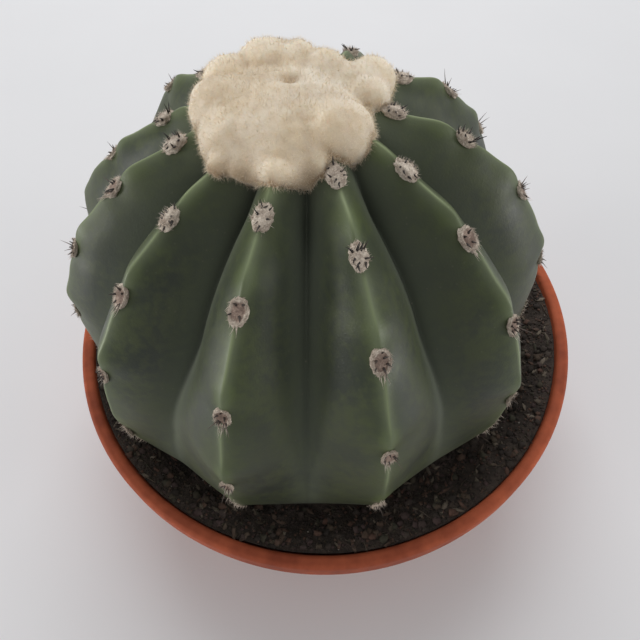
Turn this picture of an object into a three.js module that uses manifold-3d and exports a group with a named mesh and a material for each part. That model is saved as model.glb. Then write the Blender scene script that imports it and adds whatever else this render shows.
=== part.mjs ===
// Potted Turk's cap cactus: a ribbed globe in a shallow clay bowl, with a wool cap on its crown.
// Millimetres, +Z up. Origin: centre of the bowl's flat underside. The bowl stands on Z = 0.

import * as THREE from 'three';
import { mergeVertices } from 'three/addons/utils/BufferGeometryUtils.js';
import Module from 'manifold-3d';

const wasm = await Module();
wasm.setup();

// Clay bowl
const bowlRadius = 90;
const bowlHeight = 62;
const bowlFootRadius = 46;
const bowlWall = 4;
const lipHeight = 9.5;
const lipWidth = 4.3;
const lipRound = 1.4;
const drainRadius = 6;
const roundSegments = 48;

// Soil: heaped against the lip and lower round the plant
const soilDepthBelowRim = 9.5;
const soilDepthAtLip = 1.9;
const soilRises = [68, 84.5];
const soilLump = 0.7;
const lumpSpan = 3.4;
const soilEdgeDrop = 0.4;
const soilTop = bowlHeight - soilDepthBelowRim;
const gap = 0.3;

// Cactus body: crest line of the ribs, as a rounded superellipse about the widest level
const bodyRadius = 76.3;
const bodyWidestZ = bowlHeight + 22.4;
const bodyUp = 73.1;
const bodyDown = 66.9;
const bodyRoundness = 0.87;
const bodyRoundnessBelow = 0.8;
const bodyAxisX = -5.2;
const bodyAxisY = -0.3;
const leanX = 0.014;
const leanY = 0.006;
const grooveDepth = 0.25;
const grooveSteepness = 0.45;
const grooveFlattening = 0.6;
const grooveOpens = [4, 30];
const grooveCloses = [55, 112];
const flatSidesBegin = [70, 95];
const flatSidesEnd = [125, 165];
const grooveTurns = [60, 95];
const crestShapeBegins = [3, 25];
const crestShapeEnds = [80, 110];
const crestSwell = 0.012;
const swellAboveAreole = 6;
const swellSpan = 4;
const dipShare = 0.5;
const dipSpan = 3;
const columnsPerRib = 6;
const rowsAboveSoil = 24;
const rowsBelowSoil = 5;
const soilLevelPolar = 118;

// Ribs, in order round the body: azimuth of the crest in degrees (0 is the -Y side, 90 is +X),
// polar angle of the youngest areole, how far the areoles are drawn apart, the rib's reach high and
// low on the body with the polar angles between which it changes, and where the groove after the
// rib lies between the two crests, high and low
const ribs = [
  { azimuth: -17.7, first: 26, spread: 1.05, reach: [1, 1, 25, 60], groove: [0.5, 0.5] },
  { azimuth: 15.5, first: 18, spread: 1.07, reach: [1, 1, 25, 60], groove: [0.57, 0.59] },
  { azimuth: 50, first: 23, spread: 1.1, reach: [1, 1, 25, 60], groove: [0.5, 0.5] },
  { azimuth: 85, first: 16, spread: 1.15, reach: [1, 0.97, 25, 60], groove: [0.5, 0.5] },
  { azimuth: 120.5, first: 22, spread: 1.1, reach: [1.05, 0.96, 20, 60], groove: [0.5, 0.5] },
  { azimuth: 163, first: 22, spread: 1, reach: [0.98, 0.98, 25, 60], groove: [0.5, 0.5] },
  { azimuth: 195, first: 29, spread: 1.05, reach: [0.98, 0.98, 25, 60], groove: [0.5, 0.5] },
  { azimuth: 226, first: 33, spread: 1.05, reach: [0.97, 1, 25, 60], groove: [0.5, 0.5] },
  { azimuth: 253.6, first: 17, spread: 1.22, reach: [0.955, 1.04, 50, 78], groove: [0.5, 0.5] },
  { azimuth: 282.6, first: 26, spread: 1, reach: [1, 0.995, 25, 60], groove: [0.5, 0.5] },
  { azimuth: 310.5, first: 34, spread: 1, reach: [1, 1, 25, 60], groove: [0.5, 0.38] },
];

// Areoles and spines
const areoleStepYoung = 9.5;
const areoleStepGrowth = 0.26;
const areoleStepFull = 22;
const lowestAreole = 109;
const areoleWidth = 5.4;
const areoleLength = 7.8;
const areoleHeight = 1.5;
const spinesPerAreole = 3;
const spineLength = 5;
const spineLengthSpread = 0.4;
const spineRadius = 0.45;
const spineRoot = 1.6;
const spineSplay = [0.75, 1.15];
const underWool = 30;

// Wool cap: a low cushion with a dimple, lobes round it and small tufts along its front edge
const cushion = { x: -9.3, y: -2.6, aboveRim: 90.6, radiusX: 22, radiusY: 19.6, height: 9.4 };
const dimple = { x: -7.7, y: 0.6, depth: 3.2, span: 4.4 };
const lobes = [
  { x: -25.3, y: 1.5, aboveRim: 92, radius: 7.9 },
  { x: -24, y: 12, aboveRim: 91.6, radius: 7 },
  { x: -14, y: 16, aboveRim: 92.4, radius: 8.2 },
  { x: -7, y: 15.2, aboveRim: 92.4, radius: 8 },
  { x: 0, y: 12, aboveRim: 92.4, radius: 7.4 },
  { x: 5.8, y: 9, aboveRim: 91.6, radius: 6.6 },
  { x: 12.1, y: 9.8, aboveRim: 93, radius: 6.4 },
  { x: 11.4, y: 3.9, aboveRim: 91, radius: 5 },
  { x: 2.9, y: -9, aboveRim: 92.6, radius: 9 },
  { x: -10.4, y: -11.4, aboveRim: 90.8, radius: 8.4 },
  { x: -22, y: -8, aboveRim: 90.6, radius: 8 },
];
const tufts = [
  { x: -11.1, y: -22.7, aboveRim: 93.5, radius: 3 },
  { x: -8.4, y: -21.7, aboveRim: 92.1, radius: 3 },
  { x: -5.9, y: -20.7, aboveRim: 90.4, radius: 3 },
  { x: -4, y: -19.7, aboveRim: 89.1, radius: 3 },
  { x: -1.3, y: -19.2, aboveRim: 92.7, radius: 2.8 },
  { x: -12.9, y: -20.8, aboveRim: 92, radius: 3 },
  { x: -14.5, y: -18.8, aboveRim: 90.1, radius: 3 },
  { x: -15.9, y: -17, aboveRim: 88.8, radius: 3 },
  { x: -19.8, y: -17.8, aboveRim: 90.7, radius: 2.9 },
  { x: -24.9, y: -17.7, aboveRim: 91.8, radius: 2.7 },
  { x: -24.8, y: -15.1, aboveRim: 91.5, radius: 2.8 },
];

const { clamp, degToRad, lerp, smoothstep } = THREE.MathUtils;

function seeded(seed) {
  // Repeatable draws between 0 and 1
  let state = seed;
  return () => {
    state = (state * 16807) % 2147483647;
    return state / 2147483647;
  };
}

function solidOf(geometry) {
  const bare = geometry.clone();
  bare.deleteAttribute('normal');
  bare.deleteAttribute('uv');
  const merged = mergeVertices(bare, 1e-4);
  const vertProperties = new Float32Array(merged.attributes.position.array);
  const corners = merged.index.array;
  const kept = [];
  for (let i = 0; i < corners.length; i += 3) {
    const [a, b, c] = corners.slice(i, i + 3);
    // A turned profile has slivers with no area where it meets its axis
    if (a !== b && b !== c && c !== a) {
      kept.push(a, b, c);
    }
  }
  const triVerts = new Uint32Array(kept);
  return new wasm.Manifold(new wasm.Mesh({ numProp: 3, vertProperties, triVerts }));
}

function geometryOf(solid) {
  const mesh = solid.getMesh();
  const geometry = new THREE.BufferGeometry();
  geometry.setAttribute('position', new THREE.BufferAttribute(mesh.vertProperties, 3));
  geometry.setIndex(new THREE.BufferAttribute(mesh.triVerts, 1));
  geometry.computeVertexNormals();
  return geometry;
}

function lathe(profile) {
  // The profile's points are [radius, z]; LatheGeometry turns about Y, so the result is stood up
  const points = profile.map(([r, z]) => new THREE.Vector2(r, z));
  const geometry = new THREE.LatheGeometry(points, roundSegments);
  geometry.rotateX(Math.PI / 2);
  return geometry;
}

function named(name, geometry, color, roughness) {
  const material = new THREE.MeshStandardMaterial({ color, roughness, metalness: 0 });
  const mesh = new THREE.Mesh(geometry, material);
  mesh.name = name;
  return mesh;
}

// ---- bowl ----

const lipUnderZ = bowlHeight - lipHeight;
const wallTopRadius = bowlRadius - 2.6;

function wallRadius(z) {
  // Outer wall: steep under the lip, turning in towards the foot
  const t = clamp(z / lipUnderZ, 0, 1);
  return bowlFootRadius + (wallTopRadius - bowlFootRadius) * Math.pow(t, 0.8);
}

function bowlProfile() {
  const outer = [];
  for (const share of [0, 0.12, 0.4, 0.7, 1]) {
    outer.push([wallRadius(share * lipUnderZ), share * lipUnderZ]);
  }
  const lip = [
    [bowlRadius, lipUnderZ + 1.2],
    [bowlRadius, bowlHeight - lipRound],
    [bowlRadius - lipRound, bowlHeight],
    [bowlRadius - lipWidth + lipRound, bowlHeight],
    [bowlRadius - lipWidth, bowlHeight - lipRound],
  ];
  const inner = [];
  for (const share of [1, 0.7, 0.4, 0.12]) {
    const z = share * lipUnderZ;
    inner.push([wallRadius(z) - bowlWall, Math.max(z, bowlWall)]);
  }
  const drain = [
    [drainRadius, bowlWall],
    [drainRadius, 0],
  ];
  return [...outer, ...lip, ...inner, ...drain, outer[0]];
}

// ---- cactus body ----

function crestLine(polar) {
  const angle = degToRad(polar);
  const rise = Math.cos(angle);
  const reach = rise > 0 ? bodyUp : bodyDown;
  const roundness = rise > 0 ? bodyRoundness : bodyRoundnessBelow;
  return {
    r: bodyRadius * Math.sin(angle),
    z: Math.sign(rise) * reach * Math.pow(Math.abs(rise), roundness),
  };
}

function grooveShare(polar) {
  // Grooves are deep on the upper half, shallow at the widest level and gone at the soil
  const opening = smoothstep(polar, ...grooveOpens);
  const closing = smoothstep(polar, ...grooveCloses);
  return grooveDepth * opening * (1 - closing);
}

function flatSide(gapAngle, turn, polar) {
  // Low on the body the sides run straight from crest to crest; underground they round off
  const share = smoothstep(polar, ...flatSidesBegin) * (1 - smoothstep(polar, ...flatSidesEnd));
  return share * (1 - Math.cos(gapAngle / 2) / Math.cos(gapAngle * (turn - 0.5)));
}

function turnAt(rib, across, polar) {
  // The groove need not lie midway between its two crests
  const groove = lerp(...rib.groove, smoothstep(polar, ...grooveTurns));
  return across + (groove - 0.5) * (1 - Math.abs(2 * across - 1));
}

function areolePolars(rib) {
  const polars = [];
  for (let polar = rib.first; polar < lowestAreole;) {
    polars.push(polar);
    const step = Math.min(areoleStepFull, areoleStepYoung + areoleStepGrowth * polar);
    polar += rib.spread * step;
  }
  return polars;
}

function swell(rib, polar) {
  // The crest swells just above each areole and dips at it
  let sum = 0;
  for (const place of areolePolars(rib)) {
    sum += Math.exp(-Math.pow((polar - place + swellAboveAreole) / swellSpan, 2));
    sum -= dipShare * Math.exp(-Math.pow((polar - place) / dipSpan, 2));
  }
  return crestSwell * sum;
}

function gapTo(index) {
  const next = ribs[(index + 1) % ribs.length].azimuth;
  return ((next - ribs[index].azimuth + 540) % 360) - 180;
}

function reachAt(rib, polar) {
  const [high, low, begins, ends] = rib.reach;
  return lerp(high, low, smoothstep(polar, begins, ends));
}

function bodyPoint(index, across, polar, grow = 0) {
  // across runs from 0 at the crest of rib `index` to 1 at the crest of the next one
  const rib = ribs[index];
  const next = ribs[(index + 1) % ribs.length];
  const side = Math.min(across, 1 - across) * 2;
  const flank = side * (1 - grooveSteepness) + grooveSteepness * Math.pow(side, 3);
  const width = (gapTo(index) * ribs.length) / 360;
  const turn = turnAt(rib, across, polar);
  const sunk = 1 - grooveShare(polar) * width * flank - flatSide(degToRad(gapTo(index)), turn, polar);
  const near = across < 0.5 ? rib : next;
  const reach = lerp(reachAt(rib, polar), reachAt(next, polar), across);
  const upper = smoothstep(polar, ...crestShapeBegins) * (1 - smoothstep(polar, ...crestShapeEnds));
  const size = 1 + (reach - 1) * upper + swell(near, polar) * Math.pow(1 - side, 2) * upper;
  const crest = crestLine(polar);
  const r = crest.r * sunk * size + grow * Math.sin(degToRad(polar));
  const sunkZ = 1 - (1 - sunk) * grooveFlattening;
  const z = crest.z * sunkZ * size + grow * Math.cos(degToRad(polar));
  const azimuth = degToRad(rib.azimuth + gapTo(index) * turn);
  const height = z + bodyWidestZ - soilTop;
  return new THREE.Vector3(
    bodyAxisX + leanX * height + r * Math.sin(azimuth),
    bodyAxisY + leanY * height - r * Math.cos(azimuth),
    bodyWidestZ + z,
  );
}

function bodyGeometry(grow = 0) {
  const columns = ribs.length * columnsPerRib;
  const rows = rowsAboveSoil + rowsBelowSoil;
  const geometry = new THREE.SphereGeometry(1, columns, rows);
  const position = geometry.attributes.position;
  const uv = geometry.attributes.uv;
  for (let i = 0; i < position.count; i += 1) {
    const row = Math.round((1 - uv.getY(i)) * rows);
    const column = (i % (columns + 1)) % columns;
    const above = (row / rowsAboveSoil) * soilLevelPolar;
    const below = soilLevelPolar + ((row - rowsAboveSoil) / rowsBelowSoil) * (180 - soilLevelPolar);
    const polar = row <= rowsAboveSoil ? above : below;
    const share = (column % columnsPerRib) / columnsPerRib;
    const side = Math.pow(Math.min(share, 1 - share) * 2, 1.25) / 2;
    const across = share < 0.5 ? side : 1 - side;
    const point = bodyPoint(Math.floor(column / columnsPerRib), across, polar, grow);
    position.setXYZ(i, point.x, point.y, point.z);
  }
  return geometry;
}

// ---- areoles and spines ----

function areoleFrame(index, polar) {
  // Place, outward direction and downward direction on the crest of a rib
  const place = bodyPoint(index, 0, polar);
  const down = bodyPoint(index, 0, polar + 3).sub(bodyPoint(index, 0, polar - 3)).normalize();
  const azimuth = degToRad(ribs[index].azimuth);
  const sideways = new THREE.Vector3(Math.cos(azimuth), Math.sin(azimuth), 0);
  const out = new THREE.Vector3().crossVectors(sideways, down).normalize();
  if (out.dot(new THREE.Vector3(Math.sin(azimuth), -Math.cos(azimuth), 0.2)) < 0) {
    out.negate();
  }
  return { place, down, sideways, out };
}

function areolePad(frame, grow) {
  const pad = new THREE.SphereGeometry(1, 7, 4);
  const basis = new THREE.Matrix4().makeBasis(frame.sideways, frame.down, frame.out);
  const det = basis.determinant();
  pad.scale(
    (areoleWidth / 2 + grow) * Math.sign(det),
    areoleLength / 2 + grow,
    areoleHeight + grow,
  );
  pad.applyMatrix4(basis);
  pad.translate(frame.place.x, frame.place.y, frame.place.z);
  return pad;
}

function spine(frame, turn, splay, length, grow) {
  const direction = frame.out.clone().multiplyScalar(Math.cos(splay));
  direction.addScaledVector(frame.sideways, Math.sin(splay) * Math.cos(turn));
  direction.addScaledVector(frame.down, Math.sin(splay) * Math.sin(turn));
  const cone = new THREE.ConeGeometry(spineRadius + grow, length + spineRoot + grow, 4);
  cone.translate(0, (length + spineRoot) / 2 - spineRoot, 0);
  const turned = new THREE.Quaternion().setFromUnitVectors(new THREE.Vector3(0, 1, 0), direction);
  cone.applyQuaternion(turned);
  const root = frame.place.clone().addScaledVector(direction, areoleHeight * 0.6);
  cone.translate(root.x, root.y, root.z);
  return cone;
}

function areoleSolids(grow = 0, lowest = lowestAreole) {
  const draw = seeded(1811);
  const solids = [];
  ribs.forEach((rib, index) => {
    for (const polar of areolePolars(rib)) {
      const frame = areoleFrame(index, polar);
      const kept = polar < lowest;
      if (kept) {
        solids.push(solidOf(areolePad(frame, grow)));
      }
      for (let k = 0; k < spinesPerAreole; k += 1) {
        const turn = ((k + 0.25 + 0.5 * draw()) / spinesPerAreole) * 2 * Math.PI;
        const splay = lerp(...spineSplay, draw());
        const length = spineLength * (1 + spineLengthSpread * (draw() - 0.5));
        if (kept) {
          solids.push(solidOf(spine(frame, turn, splay, length, grow)));
        }
      }
    }
  });
  return solids;
}

function bodySolid(grow = 0, lowest = lowestAreole) {
  return wasm.Manifold.union([solidOf(bodyGeometry(grow)), ...areoleSolids(grow, lowest)]);
}

// ---- soil ----

function soilLevel(r) {
  return soilTop + (soilDepthBelowRim - soilDepthAtLip) * smoothstep(r, ...soilRises);
}

function insideRadius(z) {
  // Clear of the bowl's inner wall, and of the slope that leads from it to the lip
  const slope = clamp((z - lipUnderZ) / (lipHeight - lipRound), 0, 1);
  return lerp(wallRadius(z) - bowlWall, bowlRadius - lipWidth, slope) - gap;
}

function soilSolid() {
  const floor = bowlWall + gap;
  const profile = [[0, floor]];
  for (const share of [0.12, 0.4, 0.7, 1]) {
    const z = Math.max(share * lipUnderZ, floor);
    profile.push([insideRadius(share * lipUnderZ), z]);
  }
  const edge = insideRadius(bowlHeight - soilDepthAtLip - soilEdgeDrop);
  profile.push([edge, soilLevel(edge) - soilEdgeDrop]);
  const wallPoints = profile.length;
  for (const r of [edge - 1.5, 80, 76, 72, 68, 62, 30, 0]) {
    profile.push([r, soilLevel(r)]);
  }
  const geometry = lathe(profile);
  const position = geometry.attributes.position;
  for (let i = 0; i < position.count; i += 1) {
    const x = position.getX(i);
    const y = position.getY(i);
    if (i % profile.length >= wallPoints) {
      const lump = Math.sin(x / lumpSpan + Math.sin(y / lumpSpan)) * Math.cos((y - x / 3) / lumpSpan);
      position.setZ(i, soilLevel(Math.hypot(x, y)) + soilLump * lump);
    }
  }
  return solidOf(geometry).subtract(bodySolid(gap));
}

// ---- wool cap ----

function cushionGeometry() {
  const wool = new THREE.SphereGeometry(1, 32, 20);
  wool.rotateX(Math.PI / 2);
  wool.scale(cushion.radiusX, cushion.radiusY, cushion.height);
  wool.translate(cushion.x, cushion.y, bowlHeight + cushion.aboveRim);
  const position = wool.attributes.position;
  for (let i = 0; i < position.count; i += 1) {
    const away = Math.hypot(position.getX(i) - dimple.x, position.getY(i) - dimple.y);
    if (position.getZ(i) > bowlHeight + cushion.aboveRim) {
      const sunk = dimple.depth * Math.exp(-Math.pow(away / dimple.span, 2));
      position.setZ(i, position.getZ(i) - sunk);
    }
  }
  return wool;
}

function ball({ x, y, aboveRim, radius }, segments, rings) {
  const wool = new THREE.SphereGeometry(radius, segments, rings);
  wool.rotateX(Math.PI / 2);
  wool.translate(x, y, bowlHeight + aboveRim);
  return wool;
}

function capSolid() {
  const parts = [solidOf(cushionGeometry())];
  for (const lobe of lobes) {
    parts.push(solidOf(ball(lobe, 16, 10)));
  }
  for (const tuft of tufts) {
    parts.push(solidOf(ball(tuft, 8, 6)));
  }
  const pieces = wasm.Manifold.union(parts).subtract(bodySolid(gap, underWool)).decompose();
  // Slivers of lobe left under a crest don't belong to the cap
  return pieces.reduce((big, piece) => (piece.volume() > big.volume() ? piece : big));
}

// ---- whole plant ----

const plant = new THREE.Group();
plant.add(named('pot', lathe(bowlProfile()), 0xaa6148, 0.8));
plant.add(named('soil', geometryOf(soilSolid()), 0x2a2220, 0.95));
plant.add(named('cactus_body', geometryOf(bodySolid()), 0x46573f, 0.6));
plant.add(named('wool_cap', geometryOf(capSolid()), 0xd8c7a0, 0.95));

export default plant;
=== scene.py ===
import math
import random

import bpy
import numpy as np
from mathutils import Euler, Matrix, Vector, noise
from mathutils.bvhtree import BVHTree


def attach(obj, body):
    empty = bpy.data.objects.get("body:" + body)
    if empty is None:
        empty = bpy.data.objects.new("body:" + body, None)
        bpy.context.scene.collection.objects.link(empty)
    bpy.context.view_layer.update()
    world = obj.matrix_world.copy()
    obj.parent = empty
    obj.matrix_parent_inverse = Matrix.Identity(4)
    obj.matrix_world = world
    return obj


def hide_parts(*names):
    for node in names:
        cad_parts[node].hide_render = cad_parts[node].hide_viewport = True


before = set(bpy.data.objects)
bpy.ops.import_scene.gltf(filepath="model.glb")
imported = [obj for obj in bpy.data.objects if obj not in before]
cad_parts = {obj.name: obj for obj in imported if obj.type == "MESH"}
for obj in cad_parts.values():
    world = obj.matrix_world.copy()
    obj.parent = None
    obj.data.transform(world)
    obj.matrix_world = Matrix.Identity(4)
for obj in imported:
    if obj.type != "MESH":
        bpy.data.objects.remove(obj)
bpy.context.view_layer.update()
mm = 0.001   # sizes are in millimetres, turns in degrees and colours in levels up to 255


def pick(piece):
    bpy.ops.object.select_all(action="DESELECT")
    piece.select_set(True)
    bpy.context.view_layer.objects.active = piece


def addObject(name, data):
    made = bpy.data.objects.new(name, data)
    bpy.context.scene.collection.objects.link(made)
    return made


def addPrimitive(operator, name, **values):
    bpy.ops.object.select_all(action="DESELECT")
    operator(**values)
    piece = bpy.context.object
    piece.name = name
    piece.data.name = name
    return piece


def applyModifier(piece, kind, **settings):
    pick(piece)
    modifier = piece.modifiers.new(kind.lower(), kind)
    for key, value in settings.items():
        setattr(modifier, key, value)
    bpy.ops.object.modifier_apply(modifier=modifier.name)


def applyPlace(piece):
    pick(piece)
    bpy.ops.object.transform_apply(location=True, rotation=True, scale=True)


def turnFacesOut():   # on the mesh that is open in edit mode, which is closed again
    bpy.ops.mesh.select_all(action="SELECT")
    bpy.ops.mesh.normals_make_consistent(inside=False)
    bpy.ops.object.mode_set(mode="OBJECT")


def pointsOf(piece):
    points = np.empty(len(piece.data.vertices) * 3)
    piece.data.vertices.foreach_get("co", points)
    return points.reshape(-1, 3)


def movePoints(piece, points):
    piece.data.vertices.foreach_set("co", np.ascontiguousarray(points, dtype=float).ravel())
    piece.data.update()


def sphereGrid(name, segments, rings):   # a ball, and the ring and segment of each of its points
    ball = addPrimitive(bpy.ops.mesh.primitive_uv_sphere_add, name,
                        segments=segments, ring_count=rings, radius=1)
    points = pointsOf(ball)
    ring = np.rint(np.arccos(np.clip(points[:, 2], -1, 1)) / math.pi * rings).astype(int)
    turn = np.rint(np.arctan2(points[:, 1], points[:, 0]) / (2 * math.pi) * segments).astype(int)
    return ball, ring, turn % segments


def setValue(piece, name, values):
    layer = piece.data.attributes.new(name, "FLOAT", "POINT")
    layer.data.foreach_set("value", np.ascontiguousarray(values, dtype=np.float32))


def trianglesOf(piece):   # keeps the points and triangles of a piece and removes the piece
    applyModifier(piece, "TRIANGULATE")
    corners = np.empty(len(piece.data.polygons) * 3, dtype=np.int32)
    piece.data.polygons.foreach_get("vertices", corners)
    points = pointsOf(piece)
    bpy.data.objects.remove(piece)
    return points, corners.reshape(-1, 3)


def copiesOf(name, models, places):   # a place is the number of a model, a matrix and a tint
    allPoints, allCorners, tints, allInner, start = [], [], [], [], 0
    for number, matrix, tint in places:
        points, corners, *inner = models[number]
        allPoints.append(points @ matrix[:, :3].T + matrix[:, 3])
        allCorners.append(corners + start)
        tints.append(np.full(len(points), tint))
        allInner += inner
        start += len(points)
    points = np.concatenate(allPoints)
    corners = np.concatenate(allCorners)
    mesh = bpy.data.meshes.new(name)
    mesh.vertices.add(len(points))
    mesh.vertices.foreach_set("co", points.ravel())
    mesh.loops.add(corners.size)
    mesh.loops.foreach_set("vertex_index", corners.ravel())
    mesh.polygons.add(len(corners))
    mesh.polygons.foreach_set("loop_start", np.arange(0, corners.size, 3))
    mesh.update(calc_edges=True)
    piece = addObject(name, mesh)
    setValue(piece, "tint", np.concatenate(tints))
    if allInner:
        setValue(piece, "inner", np.concatenate(allInner))
    return piece


def placeMatrix(place, axes, scale):
    matrix = np.empty((3, 4))
    for k in range(3):
        matrix[:, k] = np.asarray(axes[k]) * scale[k]
    matrix[:, 3] = place
    return matrix


def smoothstep(value, low, high):
    t = np.clip((np.asarray(value, dtype=float) - low) / (high - low), 0, 1)
    return t * t * (3 - 2 * t)


def band(value, rises, falls):
    return smoothstep(value, *rises) * (1 - smoothstep(value, *falls))


def peak(distance, width):
    return np.exp(-(distance / width) ** 2)


def lumps(points, size, seed):
    offset = Vector((seed * 3.7, seed * 1.3, seed * 5.1))
    return np.array([noise.noise(Vector(p) / size + offset) for p in points])


def unevenness(points, layers, seed=0):   # a layer is the size, the seed and the height of its lumps
    return sum(lumps(points, size, seed + further) * height for size, further, height in layers)


print("helpers ready")

view = {
    "target": (-1.6, -2.3, 62.0), "distance": 224.64, "elevation": 57.57, "roll": -0.95,
    "lens": 33.76, "sensor": 36, "nearest": 10,
}


def makeCamera():
    elevation = math.radians(view["elevation"])
    backwards = Vector((0, -math.cos(elevation), math.sin(elevation)))
    camera = bpy.data.cameras.new("camera")
    camera.lens = view["lens"]
    camera.sensor_width = view["sensor"]
    camera.clip_start = view["nearest"] * mm
    holder = addObject("camera", camera)
    holder.location = (Vector(view["target"]) + backwards * view["distance"]) * mm
    lookDown = Matrix.Rotation(math.pi / 2 - elevation, 3, "X")
    leanOver = Matrix.Rotation(math.radians(view["roll"]), 3, "Z")
    holder.rotation_euler = (lookDown @ leanOver).to_euler()
    bpy.context.scene.camera = holder


lights = {   # places and sizes in metres, power in watts
    "window": {"place": (-0.05, 0.95, 1.2), "size": 1.2, "power": 12.6, "colour": (0.98, 0.99, 1.0)},
    "left": {"place": (-1.2, -0.3, 0.17), "size": 0.34, "power": 5.6, "colour": (1.0, 0.99, 0.97)},
    "right": {"place": (1.2, -0.3, 0.17), "size": 0.34, "power": 4.2, "colour": (1.0, 0.99, 0.97)},
}
room = {"strength": 0.47, "colour": (0.9, 0.9, 0.9), "middle": (0, 0, 0.06)}


def makeLights():
    for name, values in lights.items():
        light = bpy.data.lights.new(name, "AREA")
        light.size = values["size"]
        light.energy = values["power"]
        light.color = values["colour"]
        holder = addObject(name, light)
        holder.location = values["place"]
        towards = Vector(room["middle"]) - Vector(values["place"])
        holder.rotation_euler = towards.to_track_quat("-Z", "Y").to_euler()
    world = bpy.data.worlds.new("studio")
    bpy.context.scene.world = world
    world.use_nodes = True
    background = world.node_tree.nodes["Background"]
    background.inputs["Color"].default_value = (*room["colour"], 1)
    background.inputs["Strength"].default_value = room["strength"]
    bpy.context.scene.view_settings.view_transform = "Standard"


makeCamera()
makeLights()
print("camera and lights placed")


def paint(colour):
    shares = [level / 255 for level in colour]
    return (*(s / 12.92 if s <= 0.04045 else ((s + 0.055) / 1.055) ** 2.4 for s in shares), 1)


class Coat:   # a material and short ways to build it
    def __init__(self, name, shader):
        self.material = bpy.data.materials.new(name)
        self.material.use_nodes = True
        self.tree = self.material.node_tree
        self.surface = self.tree.nodes["Principled BSDF"]
        for key, value in shader.items():
            self.surface.inputs[key].default_value = value
        self.where = self.node("ShaderNodeTexCoord").outputs["Object"]

    def node(self, kind, **settings):
        made = self.tree.nodes.new(kind)
        for key, value in settings.items():
            setattr(made, key, value)
        return made

    def feed(self, given, socket):
        if isinstance(given, bpy.types.NodeSocket):
            self.tree.links.new(given, socket)
        else:
            socket.default_value = given

    def value(self, name):
        return self.node("ShaderNodeAttribute", attribute_name=name).outputs["Fac"]

    def group(self, name, **values):
        made = self.node("ShaderNodeGroup")
        made.node_tree = bpy.data.node_groups[name]
        self.feed(self.where, made.inputs["Place"])
        for key, value in values.items():
            made.inputs[key].default_value = value
        return made.outputs[0]

    def mottle(self, scale, fine):
        return self.group("mottle", Scale=scale, Fine=fine)

    def mix(self, share, first, second):
        made = self.node("ShaderNodeMix", data_type="RGBA", blend_type="MIX")
        self.feed(share, made.inputs[0])
        for given, socket in ((first, made.inputs[6]), (second, made.inputs[7])):
            self.feed(paint(given) if isinstance(given, tuple) else given, socket)
        return made.outputs[2]

    def maths(self, operation, first, second, clamp=False):
        made = self.node("ShaderNodeMath", operation=operation, use_clamp=clamp)
        self.feed(first, made.inputs[0])
        self.feed(second, made.inputs[1])
        return made.outputs[0]

    def spread(self, source, *limits):   # from low to high, and to what where that isn't 0 to 1
        made = self.node("ShaderNodeMapRange")
        self.feed(source, made.inputs["Value"])
        for key, value in zip(("From Min", "From Max", "To Min", "To Max"), limits):
            made.inputs[key].default_value = value
        return made.outputs["Result"]

    def finish(self, colour, bump=None, rough=None):   # bump: scale, fine, distance, strength
        self.feed(colour, self.surface.inputs["Base Color"])
        if rough is not None:
            self.feed(rough, self.surface.inputs["Roughness"])
        if bump is not None:
            scale, fine, distance, strength = bump
            made = self.node("ShaderNodeBump")
            made.inputs["Distance"].default_value = distance
            made.inputs["Strength"].default_value = strength
            self.feed(self.mottle(scale, fine), made.inputs["Height"])
            self.feed(made.outputs["Normal"], self.surface.inputs["Normal"])
        return self.material


def makeGroup(name, sizes, build):
    group = bpy.data.node_groups.new(name, "ShaderNodeTree")
    group.interface.new_socket("Place", in_out="INPUT", socket_type="NodeSocketVector")
    for key, value in sizes.items():
        socket = group.interface.new_socket(key, in_out="INPUT", socket_type="NodeSocketFloat")
        socket.default_value = value
    group.interface.new_socket("Value", in_out="OUTPUT", socket_type="NodeSocketFloat")
    start, end = group.nodes.new("NodeGroupInput"), group.nodes.new("NodeGroupOutput")
    build(group.nodes.new, group.links.new, start.outputs, end.inputs["Value"])


def buildMottle(add, join, given, result):   # large soft patches with a finer layer over them
    patches, specks = add("ShaderNodeTexNoise"), add("ShaderNodeTexNoise")
    patches.inputs["Detail"].default_value = 4
    specks.inputs["Detail"].default_value = 3
    finer = add("ShaderNodeMath")
    finer.operation = "MULTIPLY"
    finer.inputs[1].default_value = 6.3
    join(given["Scale"], patches.inputs["Scale"])
    join(given["Scale"], finer.inputs[0])
    join(finer.outputs[0], specks.inputs["Scale"])
    blend = add("ShaderNodeMix")
    join(given["Fine"], blend.inputs[0])
    for layer, socket in ((patches, blend.inputs[2]), (specks, blend.inputs[3])):
        join(given["Place"], layer.inputs["Vector"])
        join(layer.outputs["Fac"], socket)
    join(blend.outputs[0], result)


def buildGrit(add, join, given, result):   # small separate grains
    cells = add("ShaderNodeTexVoronoi")
    join(given["Place"], cells.inputs["Vector"])
    join(given["Scale"], cells.inputs["Scale"])
    join(cells.outputs["Distance"], result)


makeGroup("mottle", {"Scale": 40.0, "Fine": 0.3}, buildMottle)
makeGroup("grit", {"Scale": 600.0}, buildGrit)

# a patch or a bump starts with its scale per metre and how much of the finer layer it has
skin = {
    "shader": {"Roughness": 0.5, "Specular IOR Level": 0.42},
    "deep": (39, 46, 37), "flank": (61, 67, 47), "olive": (67, 75, 43), "speck": (126, 122, 104),
    # edge is a pale band painted along the crests: a painted highlight
    # groove is a paler tone painted into the grooves: painted light
    "low": (98, 99, 84), "groove": (108, 115, 100), "halo": (84, 98, 48), "edge": (122, 132, 104),
    # crease is a dark line painted at the groove bottoms: painted shade
    "line": (138, 150, 110), "cork": (168, 160, 142), "creaseShade": (36, 40, 33),
    "marks": {"low": 0.6, "groove": 0.8, "halo": 0.6, "edge": 0.5, "line": 0.85, "cork": None, "creaseShade": 0.5},
    "patch": (38.0, 0.25), "drift": (74.0, 0.5), "broken": (240.0, 0.5), "specks": 340.0,
    "gloss": (0.42, 0.58), "grooveDull": 0.4, "bump": (260.0, 0.5, 0.0002, 0.5),
}


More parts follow.
